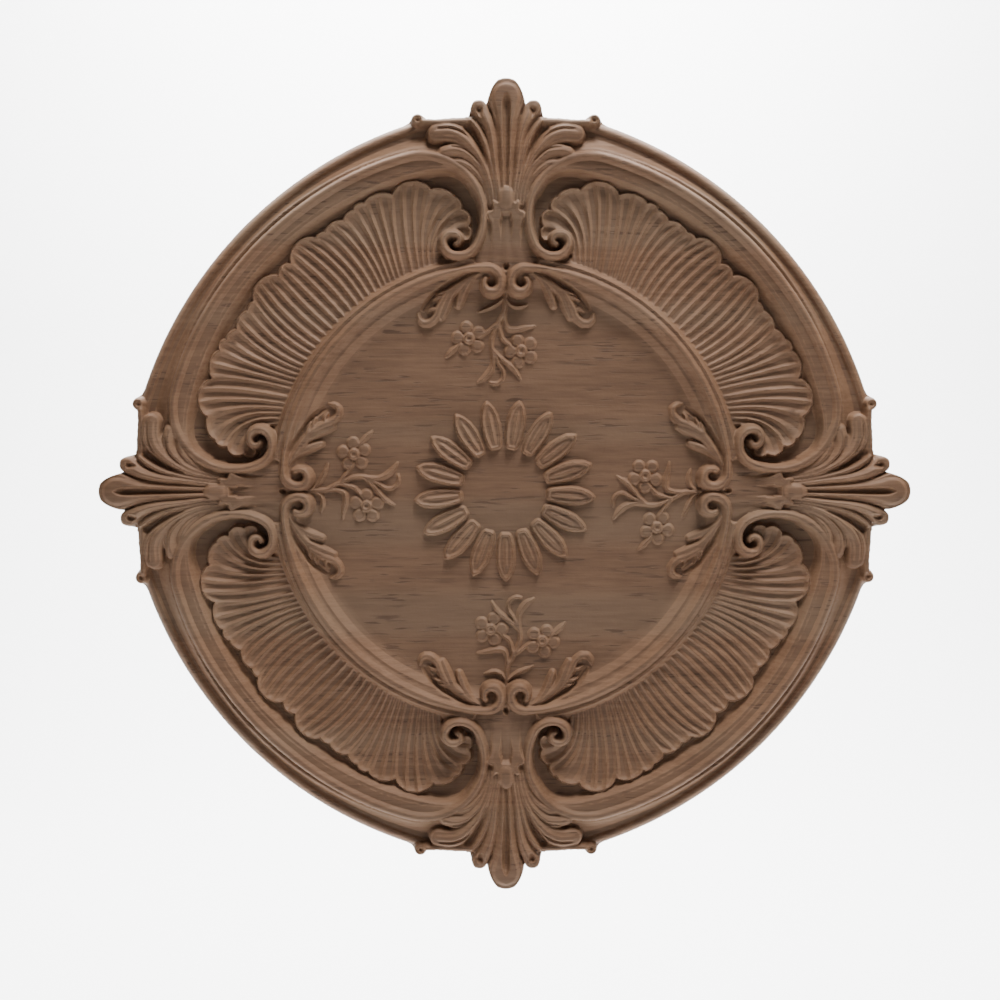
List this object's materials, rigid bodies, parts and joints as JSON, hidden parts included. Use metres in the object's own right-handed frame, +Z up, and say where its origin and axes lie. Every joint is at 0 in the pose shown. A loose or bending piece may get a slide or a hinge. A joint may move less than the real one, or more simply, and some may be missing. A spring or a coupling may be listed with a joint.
{
  "type": "carved wood medallion applique",
  "caption": "Round carved wood applique with moulded scroll frames, fluted shells, acanthus finials and a flat field with a rosette and flower sprays.",
  "frame": {"origin": "centre of the flat back, on the surface that it is fixed to", "axes": "+Y out of the back into the wall, so the carved face looks along -Y; +X to the right and +Z up as seen from the front"},
  "size_m": [0.4004, 0.0172, 0.4004],
  "materials": {
    "wood": "raw carved wood, open pored and matt, grey brown"
  },
  "bodies": {
    "root": {"medallion": "wood"}
  },
  "joints": []
}
